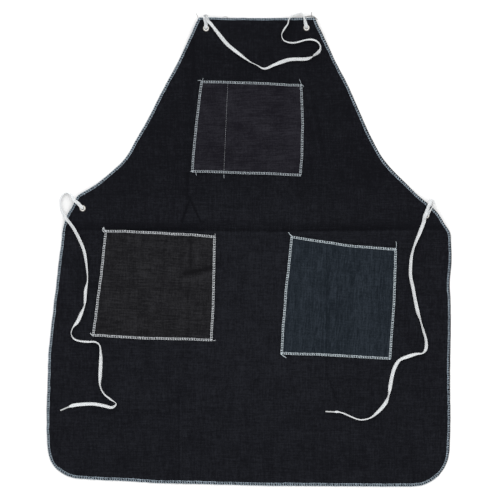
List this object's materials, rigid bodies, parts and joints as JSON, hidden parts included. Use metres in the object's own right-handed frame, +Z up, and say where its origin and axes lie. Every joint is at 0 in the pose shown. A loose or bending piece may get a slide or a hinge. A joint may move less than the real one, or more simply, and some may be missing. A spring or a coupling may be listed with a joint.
{
  "type": "denim bib apron",
  "caption": "Dark denim bib apron lying flat, with overlocked edges, patch pockets, set eyelets, a neck tape and waist ties; worn over clothes to keep them clean at work.",
  "frame": {"origin": "on the table under the middle of the cloth, measured without the tapes, their knots and their aglets", "axes": "+X to the right as the apron lies face up, +Y from the hem to the top of the bib, +Z up out of the front of the cloth"},
  "size_m": [0.7109, 0.8323, 0.0184],
  "materials": {
    "panel_denim": "dark blue-black denim, raw, matt",
    "bib_pocket_denim": "dark violet-black denim, matt",
    "left_pocket_denim": "warm grey-black denim, matt",
    "right_pocket_denim": "dark blue denim with slub streaks, matt",
    "nickel": "nickel-plated, satin",
    "tape": "white woven cotton tape",
    "aglet": "pale clear plastic over the white tape"
  },
  "bodies": {
    "root": {"body_panel": "panel_denim", "bib_pocket": "bib_pocket_denim", "left_pocket": "left_pocket_denim", "right_pocket": "right_pocket_denim", "grommet_bib_left": "nickel", "grommet_bib_right": "nickel", "grommet_waist_left": "nickel", "grommet_waist_right": "nickel", "knot_bib_left": "tape", "knot_bib_right": "tape", "knot_waist_left": "tape", "knot_waist_right": "tape", "neck_tape": "tape", "waist_tie_left": "tape", "waist_tie_right": "tape", "aglet_left": "aglet", "aglet_right": "aglet"}
  },
  "joints": []
}
